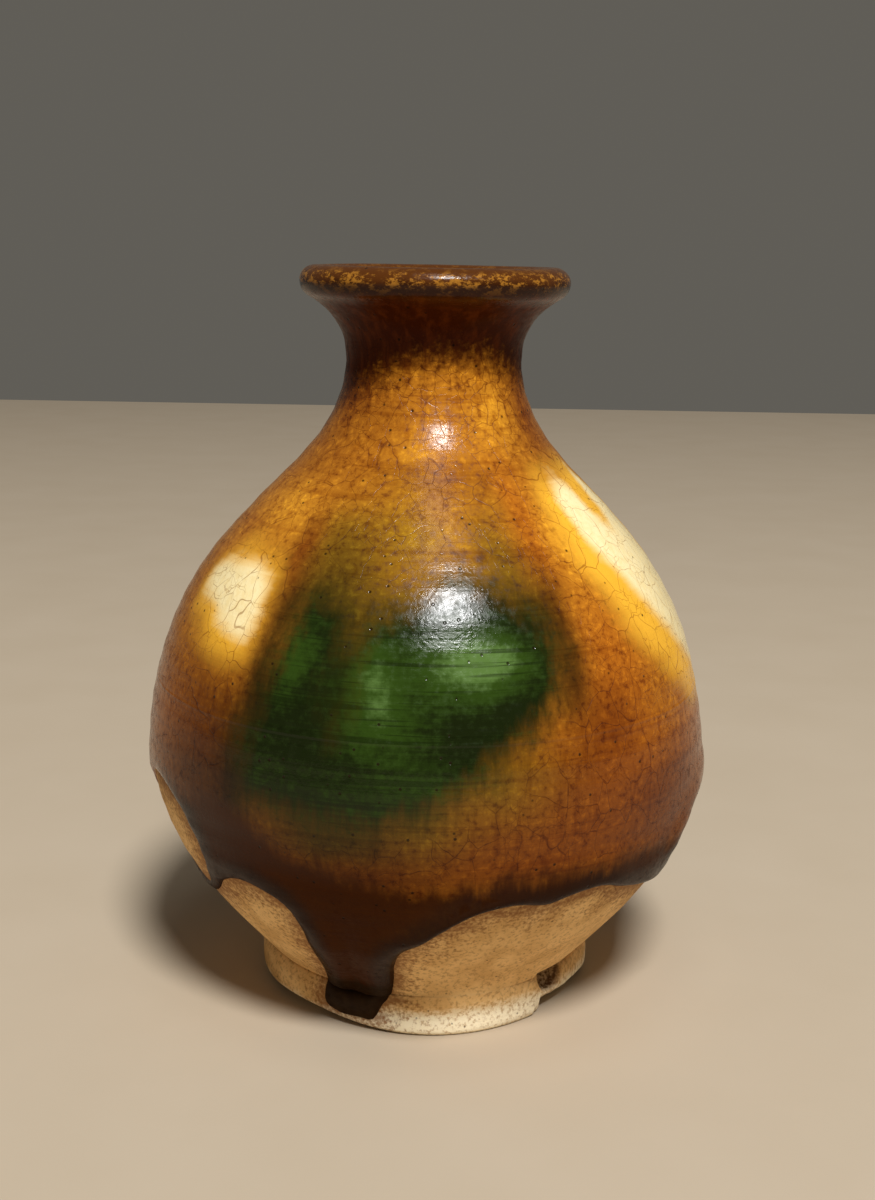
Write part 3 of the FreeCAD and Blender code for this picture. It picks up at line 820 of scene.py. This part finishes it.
# %% Crackle, pinholes and gloss
def finish_glaze():
    finish = Finish("run_lead_glaze", IOR=1.42, Specular_IOR_Level=0.25)
    grain = finish.noise(1.1, 4.0, 0.6)
    runs = finish.noise(1.6, 4.0, 0.6, scale=(1, 1, 0.12))
    cloud = finish.noise(7.0, 3.0, 0.55)
    lines = finish.noise(1.1, 3.0, 0.6, scale=(0.03, 0.03, 1))
    height = finish.add("ShaderNodeSeparateXYZ", {}, {0: finish.place()}, out=2)
    tone = glaze_tone(finish, grain, cloud, runs, lines, height)

    dark = finish.kept("dark") + (cloud - 0.5) * 4.0 + (runs - 0.5) * 4.0
    thick = finish.step(dark, -2.5, 2.0)
    edge = finish.kept("edge")
    from_edge = finish.step(edge + (cloud - 0.5) * 3.0, 2.0, 5.5)
    run_dark = finish.mix(from_edge, (0.013, 0.003, 0.001), (0.040, 0.010, 0.002))
    on_foot = finish.step(height + (grain - 0.5) * 3.0, 10.6, 8.8)
    run_dark = finish.mix(on_foot, run_dark, (0.010, 0.005, 0.002))
    tone = finish.mix(thick * 0.97, tone, run_dark)
    fine = finish.cells(1.8, "DISTANCE_TO_EDGE", stray=0.9)
    long = finish.cells(4.6, "DISTANCE_TO_EDGE", scale=(1, 1, 0.7), stray=0.8, turn=(0, 0.6, 0.3))
    patchy = finish.step(finish.noise(5.0, 3.0), 0.44, 0.58)
    net = finish.step(fine, 0.036, 0.006) * (patchy * 0.7 + finish.step(height, 90.0, 99.0) * 0.5)
    cracks = finish.step(long, 0.017, 0.004) * (1 - patchy * 0.5)
    not_green = finish.step(finish.kept("green"), 0.0, -6.0)
    open_glaze = (1 - thick) * finish.step(height, 112.0, 104.0) * not_green
    crazed = finish.step(net + cracks, 0.0, 1.0) * open_glaze
    tone = finish.mix(crazed * 0.80, tone, (0.48, 0.36, 0.28), "MULTIPLY")
    holes = finish.step(finish.cells(2.7, "F1"), 0.12, 0.045)
    tone = finish.mix(holes * 0.85, tone, (0.010, 0.004, 0.001))

    wrinkle = finish.noise(0.5, 3.0, 0.6)
    seam = finish.step(height, SEAM_HEIGHT - 0.45, SEAM_HEIGHT)
    seam = seam * finish.step(height, SEAM_HEIGHT + 0.4, SEAM_HEIGHT)
    relief = lines * 0.60 + wrinkle * 0.52 + cloud * 0.8 + seam * 0.7 - crazed * 0.30 - holes * 0.8
    chalky = finish.step(height, 11.0, 8.5)
    rough = 0.13 + finish.step(grain, 0.40, 0.70) * 0.20 + crazed * 0.15 + chalky * 0.4
    bumps = finish.bump(relief, 0.11, 0.6)
    finish.feed(Base_Color=tone, Roughness=rough, Normal=bumps)
    inputs = {"Base Color": tone, "Roughness": rough + 0.15, "Normal": bumps, "IOR": 1.42,
              "Specular IOR Level": 0.03}
    dull = finish.add("ShaderNodeBsdfPrincipled", {}, inputs)
    gloss = Wire(finish, finish.shader.outputs[0])
    both = finish.add("ShaderNodeMixShader", {}, {0: finish.kept("dull"), 1: gloss, 2: dull})
    surface = next(n for n in finish.nodes if n.type == "OUTPUT_MATERIAL").inputs["Surface"]
    finish.plug(surface, both)
    return finish.material


coat.data.materials.append(finish_glaze())

# %% [markdown]
# ## The bare clay
# The clay fired to a pale buff. Just under the glaze it is stained brown, because salts crept out of
# the run glaze, and the stain is drawn out in level streaks by the trimming knife. There are dark
# specks of iron, open pores and fine level scratches.

# %% The clay's finish
def clay_finish():
    finish = Finish("bare_fired_clay", IOR=1.45)
    edge = finish.kept("edge")
    grain = finish.noise(0.65, 4.0, 0.65)
    cloud = finish.noise(6.0, 3.0, 0.55)
    level = finish.noise(1.6, 4.0, 0.65, scale=(0.22, 0.22, 1.0))
    scratch = finish.noise(0.5, 2.0, 0.5, scale=(0.04, 0.04, 1.0))
    height = finish.add("ShaderNodeSeparateXYZ", {}, {0: finish.place()}, out=2)
    across = finish.add("ShaderNodeSeparateXYZ", {}, {0: finish.place()}, out=0)
    tone = finish.mix(finish.step(cloud, 0.35, 0.68), (0.88, 0.56, 0.225), (0.70, 0.41, 0.14))
    # Painted light: near the resting edge the clay is painted almost white, a pool of the key light on the
    # foot's lower front; the band is lower on the left, where that light falls less.
    lit_foot_band = height + finish.step(across, -9.0, -20.0) * 2.2 + (cloud - 0.5) * 3.0 + (grain - 0.5) * 4.0
    tone = finish.mix(finish.step(lit_foot_band, 5.2, 2.4), tone, (0.97, 0.84, 0.58))
    tone = finish.mix(finish.step(grain, 0.48, 0.66) * 0.6, tone, (0.38, 0.19, 0.055))
    stain = finish.step(edge + (level - 0.5) * 11.0 + (grain - 0.5) * 15.0, -6.5, 1.0)
    tone = finish.mix(stain * 0.82, tone, (0.24, 0.085, 0.016))
    speck = finish.step(finish.cells(1.6, "F1"), 0.15, 0.06)
    tone = finish.mix(speck * finish.step(cloud, 0.42, 0.58) * 0.8, tone, (0.06, 0.025, 0.008))
    # Darker brown in the pit, the crack and where the flake is lost, as far as the ring's points were pushed
    # in.
    darker_where_pushed_in = finish.kept("damage") * (0.45 + finish.step(grain, 0.35, 0.60) * 0.5)
    tone = finish.mix(darker_where_pushed_in, tone, (0.080, 0.030, 0.007))
    relief = grain * 0.9 + scratch * 0.7 + cloud * 0.6 - speck * 0.6
    return finish.feed(Base_Color=tone, Roughness=0.78 + grain * 0.12, Normal=finish.bump(relief, 0.16, 0.6))


clay_material = clay_finish()
for piece in (bowl, dome, neck, foot):
    piece.data.materials.append(clay_material)


# %% The lining's finish
def lining_finish():
    finish = Finish("brown_lining_glaze", IOR=1.55)
    cloud = finish.noise(4.0, 4.0, 0.6)
    tone = finish.mix(finish.step(cloud, 0.35, 0.70), (0.035, 0.010, 0.002), (0.20, 0.07, 0.012))
    return finish.feed(Base_Color=tone, Roughness=0.16 + cloud * 0.15, Normal=finish.bump(cloud, 0.2, 0.5))


lining.data.materials.append(lining_finish())

# %% [markdown]
# ## The studio
# A pale floor, one soft key light in front and high above, which gives the two highlights on the
# shoulder, and a weak wide light overhead. They add up to a level at which a colour looks as it was
# written.

# %% Floor, lights and world
def plain_floor():
    bm = bmesh.new()
    bmesh.ops.create_grid(bm, x_segments=1, y_segments=1, size=1.0)
    mesh = bpy.data.meshes.new("floor")
    bm.to_mesh(mesh)
    bm.free()
    floor = bpy.data.objects.new("floor", mesh)
    bpy.context.scene.collection.objects.link(floor)
    finish = Finish("pale_floor", Roughness=0.9)
    tint = finish.mix(finish.noise(30.0), (0.47, 0.38, 0.27), (0.51, 0.42, 0.31))
    mesh.materials.append(finish.feed(Base_Color=tint))


def softbox(name, azimuth, elevation, away, size, watts):
    lamp = bpy.data.lights.new(name, "AREA")
    lamp.shape = "DISK"
    lamp.size = size
    lamp.energy = watts
    target = Vector((0, 0, 0.06))
    around, up = math.radians(azimuth), math.radians(elevation)
    out = Vector((math.sin(around) * math.cos(up), -math.cos(around) * math.cos(up), math.sin(up)))
    lamp_object = bpy.data.objects.new(name, lamp)
    facing = out.to_track_quat("Z", "Y").to_matrix().to_4x4()
    lamp_object.matrix_world = Matrix.Translation(target + out * away) @ facing
    bpy.context.scene.collection.objects.link(lamp_object)


plain_floor()
softbox("key", 14, 55, 2.0, 0.46, 49.0)
softbox("overhead", 6, 78, 0.8, 0.22, 0.45)

world = bpy.data.worlds.new("studio")
world.use_nodes = True
backdrop = next(n for n in world.node_tree.nodes if n.type == "BACKGROUND")
backdrop.inputs["Color"].default_value = (0.62, 0.58, 0.50, 1.0)
backdrop.inputs["Strength"].default_value = 0.19
bpy.context.scene.world = world
